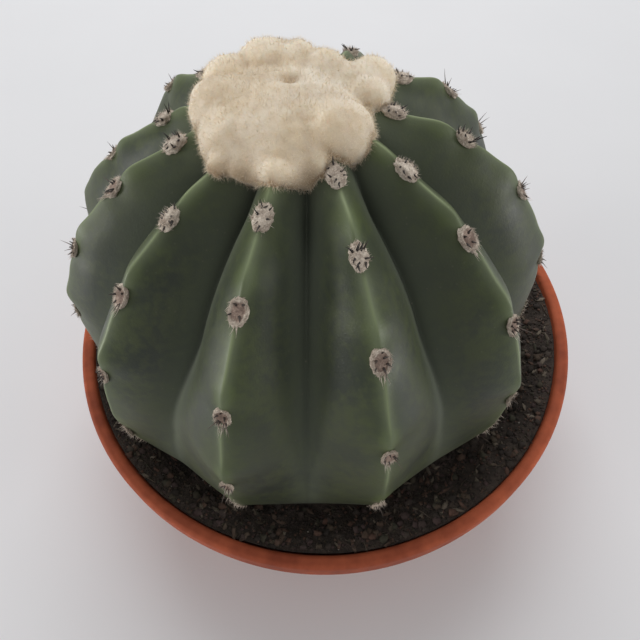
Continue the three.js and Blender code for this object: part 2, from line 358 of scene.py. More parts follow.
def skinMaterial():
    coat = Coat("cactusSkin", skin["shader"])
    mottle = coat.mottle(*skin["patch"])
    base = coat.mix(coat.spread(mottle, 0.35, 0.65), skin["deep"], skin["flank"])
    drifts = coat.spread(coat.mottle(*skin["drift"]), 0.44, 0.6, 0.0, 0.75)
    base = coat.mix(drifts, base, skin["olive"])
    broken = coat.spread(coat.mottle(*skin["broken"]), 0.42, 0.56)
    for mark, strength in skin["marks"].items():   # only the cork is broken up
        share = coat.maths("MULTIPLY", coat.value(mark), broken if strength is None else strength)
        base = coat.mix(share, base, skin[mark])
    groove = coat.value("groove")
    dots = coat.spread(coat.group("grit", Scale=skin["specks"]), 0.0, 0.12, 0.6, 0.0)
    dots = coat.maths("MULTIPLY", dots, coat.spread(groove, 0.0, 1.0, 0.25, 1.0))
    gloss = coat.spread(mottle, 0.3, 0.7, *skin["gloss"])
    rough = coat.maths("ADD", gloss, coat.maths("MULTIPLY", groove, skin["grooveDull"]), clamp=True)
    return coat.finish(coat.mix(dots, base, skin["speck"]), skin["bump"], rough)


horn = {
    "shader": {"Roughness": 0.5}, "young": (24, 19, 17), "old": (120, 104, 94), "streak": (44, 36, 32),
    "streaks": (900.0, 0.4),
}


def hornMaterial():
    coat = Coat("spineHorn", horn["shader"])
    base = coat.mix(coat.value("tint"), horn["young"], horn["old"])
    streaks = coat.spread(coat.mottle(*horn["streaks"]), 0.35, 0.7, 0.0, 0.5)
    return coat.finish(coat.mix(streaks, base, horn["streak"]))


fleece = {
    "shader": {
        "Roughness": 0.95, "Sheen Weight": 0.35, "Sheen Roughness": 0.6, "Subsurface Weight": 0.5,
        "Subsurface Radius": (0.005, 0.004, 0.003), "Subsurface Scale": 1.0,
    },
    "pale": (251, 238, 217), "warm": (241, 223, 193), "shade": (170, 143, 111), "fleck": (96, 74, 56),
    "patch": (52.0, 0.35), "cotton": (468.0, 0.6), "flecks": 105.0, "fleckPatch": (90.0, 0.0),
    "fleckStrength": 0.6, "bump": (1144.0, 0.6, 0.0004, 0.45),
}


def woolMaterial():
    coat = Coat("capWool", fleece["shader"])
    base = coat.mix(coat.spread(coat.mottle(*fleece["patch"]), 0.38, 0.62), fleece["warm"], fleece["pale"])
    cotton = coat.spread(coat.mottle(*fleece["cotton"]), 0.4, 0.62, 0.0, 0.16)
    base = coat.mix(cotton, base, fleece["shade"])
    # painted shade: the hollow value darkens the wool towards the shade colour
    base = coat.mix(coat.value("hollow"), base, fleece["shade"])
    fleck = coat.spread(coat.group("grit", Scale=fleece["flecks"]), 0.02, 0.035, 1.0, 0.0)
    some = coat.spread(coat.mottle(*fleece["fleckPatch"]), 0.58, 0.6)
    share = coat.maths("MULTIPLY", fleck, coat.maths("MULTIPLY", some, fleece["fleckStrength"]))
    return coat.finish(coat.mix(share, base, fleece["fleck"]), fleece["bump"])


felt = {
    "shader": {"Roughness": 0.95},
    "ring": (230, 218, 203), "oldRing": (212, 197, 178), "fleck": (140, 120, 106),
    "middle": (186, 166, 152), "oldMiddle": (150, 122, 108), "dark": (94, 74, 64),
    "patch": (420.0, 0.4), "bump": (1600.0, 0.5, 0.0004, 0.8),
}


def feltMaterial():
    coat = Coat("areoleFelt", felt["shader"])
    mottle = coat.mottle(*felt["patch"])
    shades = []
    for young, old, spot in (("ring", "oldRing", "fleck"), ("middle", "oldMiddle", "dark")):
        shade = coat.mix(coat.value("tint"), felt[young], felt[old])
        shades.append(coat.mix(coat.spread(mottle, 0.42, 0.58, 0.0, 0.7), shade, felt[spot]))
    return coat.finish(coat.mix(coat.value("inner"), *shades), felt["bump"])


hair = {   # the first and the last shade of each kind
    "capHair": ((250, 237, 215), (236, 217, 187)),
    "areoleHair": ((216, 204, 190), (170, 152, 136)),
    "rootFibre": ((104, 92, 80), (58, 46, 40)),
}


def hairMaterial(name):
    coat = Coat(name, {"Roughness": 0.9})
    return coat.finish(coat.mix(coat.value("tint"), *hair[name]))


clay = {
    "shader": {"Roughness": 0.72, "Specular IOR Level": 0.2},
    "dark": (139, 66, 43), "light": (184, 95, 64), "grit": (138, 74, 54),
    "patch": (42.0, 0.35), "grains": 900.0, "gloss": (0.62, 0.8), "bump": (700.0, 0.5, 0.0002, 0.5),
}


def clayMaterial():
    coat = Coat("firedClay", clay["shader"])
    mottle = coat.mottle(*clay["patch"])
    base = coat.mix(coat.spread(mottle, 0.36, 0.64), clay["dark"], clay["light"])
    grit = coat.spread(coat.group("grit", Scale=clay["grains"]), 0.0, 0.3, 0.25, 0.0)
    rough = coat.spread(mottle, 0.3, 0.7, *clay["gloss"])
    return coat.finish(coat.mix(grit, base, clay["grit"]), clay["bump"], rough)


peat = {
    "shader": {"Roughness": 0.95}, "dark": (46, 39, 35), "light": (82, 70, 62),
    "patch": (120.0, 0.5), "bump": (500.0, 0.6, 0.0012, 1.0),
}
crumb = {   # its tones run with the tint of each crumb
    "shader": {"Roughness": 0.95}, "first": (40, 34, 30), "last": (164, 156, 146), "dark": (44, 37, 33),
    "tones": {
        0.2: (60, 51, 45), 0.32: (78, 60, 59), 0.42: (68, 66, 53), 0.55: (96, 68, 57),
        0.7: (100, 91, 78), 0.88: (126, 114, 100),
    },
    "patch": (800.0, 0.5),
}


def peatMaterial():
    coat = Coat("peat", peat["shader"])
    patches = coat.spread(coat.mottle(*peat["patch"]), 0.35, 0.65)
    return coat.finish(coat.mix(patches, peat["dark"], peat["light"]), peat["bump"])


def crumbMaterial():
    coat = Coat("crumb", crumb["shader"])
    ramp = coat.node("ShaderNodeValToRGB")
    tones = ramp.color_ramp.elements
    tones[0].color, tones[1].color = paint(crumb["first"]), paint(crumb["last"])
    for place, colour in crumb["tones"].items():
        tones.new(place).color = paint(colour)
    coat.feed(coat.value("tint"), ramp.inputs["Fac"])
    patches = coat.spread(coat.mottle(*crumb["patch"]), 0.3, 0.7, 0.0, 0.5)
    return coat.finish(coat.mix(patches, ramp.outputs["Color"], crumb["dark"]))


print("materials ready")

bowl = {
    "radius": 90.0, "height": 62.0, "foot": 46.0, "footRound": 1.2, "wall": 4.0, "flare": 0.8,
    "lipHeight": 9.5, "lipWidth": 4.3, "lipOut": 2.6, "lipRound": 1.6, "drain": 6.0, "floorRing": 30,
    "crook": (2.2, 1.0, 0.6), "lipEdge": (1.0, 1.4, 1.0),   # in from the rim, up the lip, radius
    "outerSteps": (0.06, 0.12, 0.2, 0.3, 0.4, 0.5, 0.6, 0.7, 0.8, 0.9, 0.97),
    "innerSteps": (1, 0.9, 0.8, 0.7, 0.6, 0.5, 0.4, 0.3, 0.2, 0.12),
    "segments": 192, "smoothTo": 50, "shrink": 0.9985, "wobble": (0.0012, 0.0008),
}
lipUnder = bowl["height"] - bowl["lipHeight"]


def wallRadius(z):
    share = min(max(z / lipUnder, 0), 1)
    top = bowl["radius"] - bowl["lipOut"]
    return bowl["foot"] + (top - bowl["foot"]) * share ** bowl["flare"]


def arc(centre, radius, start, end, steps):
    points = []
    for step in range(steps + 1):
        angle = math.radians(start + (end - start) * step / steps)
        points.append((centre[0] + radius * math.cos(angle), centre[1] + radius * math.sin(angle)))
    return points


def turned(name, profile, segments):
    ring = addPrimitive(bpy.ops.mesh.primitive_circle_add, name, vertices=segments,
                        radius=profile[0][0] * mm, location=(0, 0, profile[0][1] * mm))
    applyPlace(ring)
    bpy.ops.object.mode_set(mode="EDIT")
    bpy.ops.mesh.select_all(action="SELECT")
    last = profile[0]
    for r, z in profile[1:]:
        bpy.ops.mesh.extrude_region_move(TRANSFORM_OT_translate={"value": (0, 0, (z - last[1]) * mm)})
        bpy.ops.transform.resize(value=(r / last[0], r / last[0], 1), center_override=(0, 0, 0))
        last = (r, z)
    bpy.ops.mesh.select_all(action="DESELECT")
    bpy.ops.mesh.select_mode(type="EDGE")
    bpy.ops.mesh.select_non_manifold()
    bpy.ops.mesh.bridge_edge_loops()
    turnFacesOut()
    return ring


def bowlProfile():
    r, h, w = bowl["radius"], bowl["height"], bowl["lipWidth"]
    wall, drain, floorRing = bowl["wall"], bowl["drain"], bowl["floorRing"]
    bend, footRound, crook, lipEdge = bowl["lipRound"], bowl["footRound"], bowl["crook"], bowl["lipEdge"]
    outer = arc((bowl["foot"] - footRound, footRound), footRound, -90, -40, 4)
    outer += [(wallRadius(s * lipUnder), s * lipUnder) for s in bowl["outerSteps"]]
    lip = arc((r - crook[0], lipUnder + crook[1]), crook[2], 180, 270, 3)
    lip += arc((r - lipEdge[0], lipUnder + lipEdge[1]), lipEdge[2], -90, 0, 4)
    lip += arc((r - bend, h - bend), bend, 0, 90, 8)
    lip += arc((r - w + bend, h - bend), bend, 90, 180, 8)
    inner = [(wallRadius(s * lipUnder) - wall, max(s * lipUnder, wall)) for s in bowl["innerSteps"]]
    return outer + lip + inner + [(floorRing, wall), (drain, wall), (drain, 0), (floorRing, 0)]


def makeBowl():
    pot = turned("clayBowl", bowlProfile(), bowl["segments"])
    pot.data.shade_smooth()
    pick(pot)
    bpy.ops.object.shade_smooth_by_angle(angle=math.radians(bowl["smoothTo"]))
    points = pointsOf(pot)
    azimuth = np.arctan2(points[:, 1], points[:, 0])
    wobble = 1 + bowl["wobble"][0] * np.sin(3 * azimuth + 1) + bowl["wobble"][1] * np.sin(7 * azimuth)
    points[:, :2] *= wobble[:, None] * bowl["shrink"]
    movePoints(pot, points)
    pot.data.materials.append(clayMaterial())
    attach(pot, "root")
    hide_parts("pot")
    print("bowl made")


makeBowl()

plant = {   # polar angles run down from the crown, in pairs where something comes in or goes out
    "radius": 76.3, "widest": 84.4, "up": 73.1, "down": 66.9, "roundness": 0.87, "roundnessBelow": 0.8,
    "axis": (-5.2, -0.3), "lean": (0.014, 0.006), "soilTop": 52.5,
    "groove": 0.25, "steep": 0.45, "flatten": 0.6,
    "grooveOpens": (4, 30), "grooveCloses": (55, 112),
    "flatBegins": (70, 95), "flatEnds": (125, 165),
    "shapeBegins": (3, 25), "shapeEnds": (80, 110), "grooveTurns": (60, 95),
    "swell": 0.014, "swellAbove": 6, "swellSpan": 4, "dipShare": 0.5, "dipSpan": 3,
    "crestRound": 0.06, "grooveRound": 0.07, "keel": 0.25, "keelWidth": 0.8, "soilPolar": 118,
    "lumps": ((26.0, 3, 0.5), (9.0, 5, 0.18)), "lumpsBegin": (4, 20), "lumpsEnd": (105, 116),
    "columns": 40, "crowding": 0.6, "rowsAbove": 156, "rowsBelow": 14,
}

# crest azimuth, youngest areole, how far areoles are drawn apart, the rib's reach high and low on
# the body with the polar angles between which it changes, and where the groove after it lies
ribs = [
    (-17.7, 26, 1.05, (1, 1, 25, 60), (0.5, 0.5)), (15.5, 18, 1.07, (1, 1, 25, 60), (0.57, 0.59)),
    (50, 23, 1.1, (1, 1, 25, 60), (0.5, 0.5)), (85, 16, 1.15, (1, 0.97, 25, 60), (0.5, 0.5)),
    (120.5, 22, 1.1, (1.0, 0.95, 20, 60), (0.5, 0.5)), (163, 22, 1, (0.95, 0.98, 25, 60), (0.5, 0.5)),
    (195, 29, 1.05, (0.98, 0.98, 25, 60), (0.5, 0.5)), (226, 33, 1.05, (0.97, 1, 25, 60), (0.5, 0.5)),
    (253.6, 17, 1.22, (0.955, 1.04, 50, 78), (0.5, 0.5)), (282.6, 26, 1, (1, 0.995, 25, 60), (0.5, 0.5)),
    (310.5, 34, 1, (1, 1, 25, 60), (0.5, 0.38)),
]
areoleStep = {"young": 9.5, "growth": 0.26, "full": 22, "lowest": 109}
ribTurn = np.array([rib[0] for rib in ribs], dtype=float)
ribGap = (np.roll(ribTurn, -1) - ribTurn + 540) % 360 - 180
ribReach = np.array([rib[3] for rib in ribs], dtype=float)
ribFold = np.array([rib[4] for rib in ribs], dtype=float)


def areolePolars(rib):
    polar, polars = rib[1], []
    while polar < areoleStep["lowest"]:
        polars.append(polar)
        step = min(areoleStep["full"], areoleStep["young"] + areoleStep["growth"] * polar)
        polar += rib[2] * step
    return polars


areoles = [areolePolars(rib) for rib in ribs]


def crestSwell(nearest, polar):
    total = np.zeros_like(polar)
    for number, polars in enumerate(areoles):
        here = nearest == number
        for place in polars:
            above = peak(polar - place + plant["swellAbove"], plant["swellSpan"])
            total += here * (above - plant["dipShare"] * peak(polar - place, plant["dipSpan"]))
    return plant["swell"] * total


def between(pair, share):
    return pair[..., 0] + (pair[..., 1] - pair[..., 0]) * share


def reachAt(number, polar):
    pair = ribReach[number]
    return between(pair, smoothstep(polar, pair[..., 2], pair[..., 3]))


def turnAt(number, across, polar):   # the way round from crest to crest, and where the groove lies
    fold = between(ribFold[number], smoothstep(polar, *plant["grooveTurns"]))
    return across + (fold - 0.5) * (1 - np.abs(2 * across - 1)), fold


def rounded(share, bend):
    return (np.sqrt(share ** 2 + bend ** 2) - bend) / (math.sqrt(1 + bend ** 2) - bend)


def bodySurface(number, across, polar):   # across goes from 0 at a crest to 1 at the next one
    number, across, polar = np.broadcast_arrays(number, across, polar)
    across, polar = across.astype(float), polar.astype(float)
    following = (number + 1) % len(ribs)
    gap = ribGap[number]
    side = rounded(np.minimum(across, 1 - across) * 2, plant["crestRound"])
    side = 1 - rounded(1 - side, plant["grooveRound"])
    flank = side * (1 - plant["steep"]) + plant["steep"] * side ** 3
    width = gap * len(ribs) / 360
    turn, fold = turnAt(number, across, polar)
    opening = smoothstep(polar, *plant["grooveOpens"])
    closing = smoothstep(polar, *plant["grooveCloses"])
    sunk = 1 - plant["groove"] * opening * (1 - closing) * width * flank
    flat = band(polar, plant["flatBegins"], plant["flatEnds"])
    sunk -= flat * (1 - np.cos(np.radians(gap / 2)) / np.cos(np.radians(gap * (turn - 0.5))))
    nearest = np.where(across < 0.5, number, following)
    reach = reachAt(number, polar) * (1 - across) + reachAt(following, polar) * across
    upper = band(polar, plant["shapeBegins"], plant["shapeEnds"])
    size = 1 + (reach - 1) * upper + crestSwell(nearest, polar) * (1 - side) ** 2 * upper
    angle = np.radians(polar)
    rise = np.cos(angle)
    roundness = np.where(rise > 0, plant["roundness"], plant["roundnessBelow"])
    lift = np.where(rise > 0, plant["up"], plant["down"]) * np.sign(rise) * np.abs(rise) ** roundness
    r = plant["radius"] * np.sin(angle) * sunk * size
    z = lift * (1 - (1 - sunk) * plant["flatten"]) * size
    toCrest = np.minimum(turn, 1 - turn) * np.radians(gap) * np.maximum(r, 1)
    keel = plant["keel"] * peak(toCrest, plant["keelWidth"])
    r = r + keel * np.sin(angle)
    z = z + keel * np.cos(angle)
    heading = np.radians(ribTurn[number] + gap * turn)
    height = z + plant["widest"] - plant["soilTop"]
    return np.stack([
        plant["axis"][0] + plant["lean"][0] * height + r * np.sin(heading),
        plant["axis"][1] + plant["lean"][1] * height - r * np.cos(heading),
        plant["widest"] + z,
    ], axis=-1)


def distanceInRib(number, across, polar):   # to the crest and to the groove
    r = plant["radius"] * np.sin(np.radians(polar))
    turn, fold = turnAt(number, across, polar)
    whole = np.radians(ribGap[number]) * r
    return np.minimum(turn, 1 - turn) * whole, np.abs(turn - fold) * whole


marks = {   # widths across a crest or groove, and polar angles between which a mark comes or goes
    "lineWidth": 0.28, "lineWidens": 0.22, "lineBright": (0.55, 1.0), "lineStarts": (0.08, 0.24),
    "lineEnds": (0.4, 0.62), "lineFade": 0.3, "lineDims": (0.7, 80, 100),
    "topLineWidth": 0.9, "topLineStarts": (4, 10), "topLineStops": (6, 2),
    "haloUp": 7.5, "haloSize": (4.5, 2.6), "haloBright": (0.5, 1.0), "crestHalo": (0.4, 5.0),
    "crestHighlightWidth": 1.6, "crestHighlightStarts": (10, 18), "crestHighlightDims": (0.7, 55, 85),
    "corkWidth": 1.1, "corkStarts": (90, 103), "grooveLightWidth": 5.0, "grooveLightDims": (0.6, 60, 100),
    "creaseShadeWidth": 1.1, "creaseShadeDims": (0.75, 70, 98), "low": (66, 96), "lowest": (95, 110),
}


def markBody(body, number, across, polar):
    draw = random.Random(41)
    crest, groove = distanceInRib(number, across, polar)
    nearest = np.where(across < 0.5, number, (number + 1) % len(ribs))
    line = np.zeros(len(polar))
    halo = np.zeros(len(polar))

    def dimmed(key):
        share, low, high = marks[key]
        return 1 - share * smoothstep(polar, low, high)

    for rib, polars in enumerate(areoles):
        here = nearest == rib
        ends = polars[1:] + [polars[-1] + areoleStep["full"]]
        for start, end in zip(polars, ends):
            along = (polar - start) / (end - start)
            bright, fade = draw.uniform(*marks["lineBright"]), draw.uniform(*marks["lineEnds"])
            strength = band(along, marks["lineStarts"], (fade, fade + marks["lineFade"])) * bright
            strength = strength * dimmed("lineDims")
            thick = marks["lineWidth"] + marks["lineWidens"] * (1 - np.clip(along, 0, 1))
            line += here * strength * peak(crest, thick)
            down = (polar - start) * math.pi / 180 * plant["radius"] + marks["haloUp"]
            away = np.sqrt((down / marks["haloSize"][0]) ** 2 + (crest / marks["haloSize"][1]) ** 2)
            halo += here * draw.uniform(*marks["haloBright"]) * np.exp(-away ** 4)
        stops = [polars[0] - before for before in marks["topLineStops"]]
        line += here * band(polar, marks["topLineStarts"], stops) * peak(crest, marks["topLineWidth"])
    halo += marks["crestHalo"][0] * peak(crest, marks["crestHalo"][1])
    setValue(body, "line", np.clip(line, 0, 1))
    # painted highlight: a pale band along each crest, dimmer low on the body
    pale = smoothstep(polar, *marks["crestHighlightStarts"]) * dimmed("crestHighlightDims")
    setValue(body, "edge", peak(crest, marks["crestHighlightWidth"]) * pale)
    setValue(body, "cork", peak(crest, marks["corkWidth"]) * smoothstep(polar, *marks["corkStarts"]))
    setValue(body, "halo", np.clip(halo, 0, 1))
    # painted light: the grooves are painted paler, less so low on the body
    setValue(body, "groove", peak(groove, marks["grooveLightWidth"]) * dimmed("grooveLightDims"))
    # painted shade: a thin dark line at the groove bottoms, fading low on the body
    setValue(body, "creaseShade", peak(groove, marks["creaseShadeWidth"]) * dimmed("creaseShadeDims"))
    low = 0.25 * smoothstep(polar, *marks["low"]) + 0.75 * smoothstep(polar, *marks["lowest"])
    setValue(body, "low", low)


def makeBody():
    columns, rowsAbove, rowsBelow = plant["columns"], plant["rowsAbove"], plant["rowsBelow"]
    body, row, column = sphereGrid("cactusBody", len(ribs) * columns, rowsAbove + rowsBelow)
    above = row / rowsAbove * plant["soilPolar"]
    below = plant["soilPolar"] + (row - rowsAbove) / rowsBelow * (180 - plant["soilPolar"])
    polar = np.where(row <= rowsAbove, above, below)
    number = column // columns
    share = (column % columns) / columns
    across = share - plant["crowding"] * np.sin(4 * math.pi * share) / (4 * math.pi)
    points = bodySurface(number, across, polar)
    drift = unevenness(points, plant["lumps"])
    outward = points - np.array([*plant["axis"], plant["widest"]])
    outward /= np.linalg.norm(outward, axis=1)[:, None]
    points += outward * (drift * band(polar, plant["lumpsBegin"], plant["lumpsEnd"]))[:, None]
    movePoints(body, points * mm)
    body.data.shade_smooth()
    markBody(body, number, across, polar)
    body.data.materials.append(skinMaterial())
    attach(body, "root")
    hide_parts("cactus_body")
    print("ribbed body made", len(body.data.polygons))
    return body


cactusBody = makeBody()

areoleShape = {   # a young one is all bristle, an old one a worn ring
    "width": 5.0, "length": 7.2, "height": 1.3, "vary": (0.93, 1.07), "young": 38, "youngShare": 0.94,
    "aging": (30, 90), "oldShrinks": 0.15, "oldShortens": 0.06, "oldFlattens": 0.4,
    "ring": 0.88, "ringWidth": 0.12, "ringHeight": 0.6, "inside": (0.62, 0.78), "hollow": 0.55,
    "rough": 0.9, "lumps": ((0.4, 0, 0.2), (0.17, 7, 0.16)),
    "hairs": 150, "hairLength": 1.1, "hairRadius": (0.06, 0.11),
    "youngHair": (0.7, 1.5), "oldHair": (0.6, 1.3),   # shares of that length
    "loose": (5, 12), "looseLength": (1.2, 3.4), "looseRadius": (0.08, 0.16),
    "scurf": 80, "scurfFrom": 92, "scurfSpan": 20, "scurfLength": (0.4, 1.5), "scurfRadius": (0.1, 0.24),
}
spineShape = {
    "count": (7, 9), "stubs": (4, 6), "lying": 0.7, "spread": (0.3, 0.66), "lyingSpread": (0.35, 0.75),
    "sideways": (-1.2, 1.2), "root": 0.8, "lyingRoot": 0.3, "first": 0.6,
    "bristles": (0, 3), "bristleLength": (2.2, 4.2), "bristleRadius": 0.17,
}
spineKinds = {   # splay is in radians away from straight out of the pad
    "lying": {"splay": (0.95, 1.3), "length": (1.2, 2.3), "radius": (0.3, 0.42), "tint": (0, 0.15)},
    "standing": {"splay": (0.3, 1.0), "length": (1.8, 3.6), "radius": (0.3, 0.42), "tint": (0, 0.2)},
    "stub": {"splay": (0.1, 0.9), "length": (0.4, 1.3), "radius": (0.32, 0.42), "tint": (0.05, 0.25)},
}
upward = {"lying": 0.0, "standing": 0.35, "stub": 0.0}   # how much each kind leans up the rib


def areoleFrame(number, polar):
    place = bodySurface(number, 0.0, polar)
    down = bodySurface(number, 0.0, polar + 3) - bodySurface(number, 0.0, polar - 3)
    down /= np.linalg.norm(down)
    turn = math.radians(ribs[number][0])
    sideways = np.array([math.cos(turn), math.sin(turn), 0.0])
    out = np.cross(down, sideways)
    if out @ np.array([math.sin(turn), -math.cos(turn), 0.3]) < 0:
        out = -out
    return place, sideways, down, out


def bentCones(name, sides, tip, cuts, bends):   # one cone, cut across and bent more and more
    cone = addPrimitive(bpy.ops.mesh.primitive_cone_add, name, vertices=sides,
                        radius1=1, radius2=tip, depth=1, location=(0, 0, 0.5))
    applyPlace(cone)
    bpy.ops.object.mode_set(mode="EDIT")
    for height in cuts:
        bpy.ops.mesh.select_all(action="SELECT")
        bpy.ops.mesh.bisect(plane_co=(0, 0, height), plane_no=(0, 0, 1))
    bpy.ops.object.mode_set(mode="OBJECT")
    points, corners = trianglesOf(cone)
    models = []
    for bend in bends:
        moved = points.copy()
        moved[:, 0] += bend * points[:, 2] ** 2
        models.append((moved, corners))
    return models


def strandMatrix(root, direction, side, length, radius):   # root in metres
    direction = direction / np.linalg.norm(direction)
    first = side - direction * (side @ direction)
    first /= np.linalg.norm(first)
    second = np.cross(direction, first)
    return placeMatrix(root, (first, second, direction), (radius * mm, radius * mm, length * mm))


def padModel(seed, hollowed):
    pad = addPrimitive(bpy.ops.mesh.primitive_uv_sphere_add, "padModel", segments=28, ring_count=18, radius=1)
    points = pointsOf(pad)
    reach = np.hypot(points[:, 0], points[:, 1])
    uneven = unevenness(points, areoleShape["lumps"], seed) * areoleShape["rough"]
    ringed = peak(reach - areoleShape["ring"], areoleShape["ringWidth"])
    ringed = 1 - areoleShape["hollow"] + areoleShape["ringHeight"] * ringed
    above = points[:, 2] > 0
    points[:, 2] *= np.where(above, 1 - hollowed + hollowed * ringed, 1)
    points *= (1 + uneven)[:, None]
    movePoints(pad, points)
    inner = (1 - smoothstep(reach, *areoleShape["inside"])) * above * hollowed
    return *trianglesOf(pad), inner


def makeAreoles():
    draw = random.Random(1811)
    padModels = [padModel(seed, 0.0) for seed in range(3)] + [padModel(seed, 1.0) for seed in range(3, 7)]
    spineModels = bentCones("spineModel", 7, 0.12, (0.25, 0.5, 0.75), (0.0, 1.0, 2.2))
    strandModels = bentCones("strandModel", 3, 0, (0.5,), (0.0, 4.0, 8.0))
    pads, spines, hairs = [], [], []

    def addHair(root, direction, side, length, radius, tint):
        model = draw.randrange(3)
        hairs.append((model, strandMatrix(root * mm, direction, side, length, radius), min(1, max(0, tint))))

    def addAreole(number, polar, youngest):
        middle, sideways, down, out = areoleFrame(number, polar)
        old = float(smoothstep(polar, *areoleShape["aging"]))
        young = polar < areoleShape["young"]
        share = (1 - areoleShape["oldShrinks"] * old) * (areoleShape["youngShare"] if young else 1)
        wide = areoleShape["width"] / 2 * draw.uniform(*areoleShape["vary"]) * share
        long = areoleShape["length"] / 2 * draw.uniform(*areoleShape["vary"]) * share
        long *= 1 - areoleShape["oldShortens"] * old
        tall = areoleShape["height"] * (1 - areoleShape["oldFlattens"] * old)
        model = draw.randrange(3) if young else draw.randrange(3, 7)
        matrix = placeMatrix(middle * mm, (sideways, down, out), (wide * mm, long * mm, tall * mm))
        pads.append((model, matrix, 0.15 + 0.45 * old + 0.3 * draw.random()))

        def onPad(turn, spread, depth):
            root = middle + sideways * (wide * spread * math.cos(turn))
            root = root + down * (long * spread * math.sin(turn))
            return root + out * (tall * math.sqrt(max(0, 1 - spread ** 2)) - depth)

        def awayAndRound(turn):   # the ways out from the middle of the pad and round it
            c, s = math.cos(turn), math.sin(turn)
            return sideways * c + down * s, down * c - sideways * s

        count = draw.randint(*spineShape["count" if young else "stubs"])
        for k in range(count):
            turn = (k + draw.uniform(0.1, 0.9)) / count * 2 * math.pi
            radial, along = awayAndRound(turn)
            depth, spread = spineShape["root"], draw.uniform(*spineShape["spread"])
            lying = young and draw.random() < spineShape["lying"]
            kind = "lying" if lying else "standing" if young else "stub"
            values = spineKinds[kind]
            splay, length, radius = (draw.uniform(*values[key]) for key in ("splay", "length", "radius"))
            if lying:
                depth, spread = spineShape["lyingRoot"], draw.uniform(*spineShape["lyingSpread"])
            tint = draw.uniform(*values["tint"])
            if lying:
                radial = radial + along * draw.uniform(*spineShape["sideways"])
                radial /= np.linalg.norm(radial)
            if not young:
                tint += 0.25 * old
            if youngest:
                length *= spineShape["first"]
            direction = out * math.cos(splay) + radial * math.sin(splay) - down * upward[kind]
            matrix = strandMatrix(onPad(turn, spread, depth) * mm, direction, down, length + depth, radius)
            spines.append((draw.randrange(3), matrix, min(1, tint)))
        for k in range(0 if young else draw.randint(*spineShape["bristles"])):
            turn = draw.uniform(0, 2 * math.pi)
            direction = out + awayAndRound(turn)[0] * draw.uniform(0.3, 1.4)
            length = draw.uniform(*spineShape["bristleLength"])
            root = onPad(turn, 0.6, 0.3) * mm
            matrix = strandMatrix(root, direction, down, length, spineShape["bristleRadius"])
            spines.append((draw.randrange(3), matrix, draw.uniform(0.6, 1.0)))
        for k in range(areoleShape["hairs"]):
            turn = draw.uniform(0, 2 * math.pi)
            radial, along = awayAndRound(turn)
            if young:
                root = onPad(turn, math.sqrt(draw.uniform(0.05, 0.97)), 0.3)
                direction = out * draw.uniform(0.15, 0.8) + radial * draw.uniform(0.1, 1.0)
                direction = direction + along * draw.uniform(-0.8, 0.8)
            else:
                root = onPad(turn, draw.uniform(0.8, 0.99), 0.2)
                direction = along * draw.choice((-1, 1)) + radial * draw.uniform(-0.3, 0.5)
                direction = direction + out * draw.uniform(0, 0.5)
            shares = areoleShape["youngHair" if young else "oldHair"]
            length = areoleShape["hairLength"] * draw.uniform(*shares)
            radius = draw.uniform(*areoleShape["hairRadius"])
            addHair(root, direction, out, length, radius, draw.uniform(0, 0.6) + 0.25 * old)
        for k in range(0 if young else draw.randint(*areoleShape["loose"])):   # fibres that hang loose
            turn = math.pi / 2 + draw.uniform(-0.6, 0.6)
            root = onPad(turn, 0.92, 0.1)
            direction = down + out * draw.uniform(0.0, 0.35) + sideways * draw.uniform(-0.35, 0.35)
            length = draw.uniform(*areoleShape["looseLength"])
            radius = draw.uniform(*areoleShape["looseRadius"])
            addHair(root, direction, out, length, radius, draw.uniform(0, 0.4))

    for number, polars in enumerate(areoles):
        for place, polar in enumerate(polars):
            addAreole(number, polar, place == 0)
    for number in range(len(ribs)):
        for k in range(areoleShape["scurf"]):   # dry scurf at the foot of each crest
            polar = areoleShape["scurfFrom"] + areoleShape["scurfSpan"] * draw.random() ** 0.8
            middle, sideways, down, out = areoleFrame(number, polar)
            root = middle + sideways * draw.gauss(0, 0.5) - out * 0.25
            direction = out * draw.uniform(0.1, 0.9) + sideways * draw.uniform(-1, 1)
            direction = direction + down * draw.uniform(-0.6, 1.2)
            length = draw.uniform(*areoleShape["scurfLength"])
            radius = draw.uniform(*areoleShape["scurfRadius"])
            addHair(root, direction, out, length, radius, draw.uniform(0.2, 0.9))
    padPiece = copiesOf("areolePads", padModels, pads)
    spinePiece = copiesOf("spines", spineModels, spines)
    hairPiece = copiesOf("areoleHairs", strandModels, hairs)
    padPiece.data.shade_smooth()
    spinePiece.data.shade_smooth()
    padPiece.data.materials.append(feltMaterial())
    hairPiece.data.materials.append(hairMaterial("areoleHair"))
    spinePiece.data.materials.append(hornMaterial())
    for piece in (padPiece, spinePiece, hairPiece):
        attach(piece, "root")
    print("areoles made", len(pads), "pads", len(spines), "spines",
          len(hairPiece.data.polygons), "hair faces")
    return strandModels


strandModels = makeAreoles()

cap = {
    "voxel": 0.6, "melt": 54, "swell": 0.3, "lumps": ((5.5, 11, 0.6), (2.2, 12, 0.24)),
    "dimple": (-8.0, 3.4), "dimpleDepth": 2.4, "dimpleSpan": 2.1, "dimpleAbove": 154, "sunk": 0.3,
    "ragged": ((1.7, 13, 0.7),), "borderAbove": 0.8, "borderWidth": 1.3, "steepest": 0.85,
    "fuzz": 14000, "fuzzLength": (0.6, 1.56), "fuzzRadius": 0.045, "fuzzRoot": 0.1,
    "fringe": 3000, "fringeLength": (0.8, 2.0),
}
capBase = {"centre": (-9.3, -2.6, 152.6), "radii": (22.0, 19.6, 9.4)}
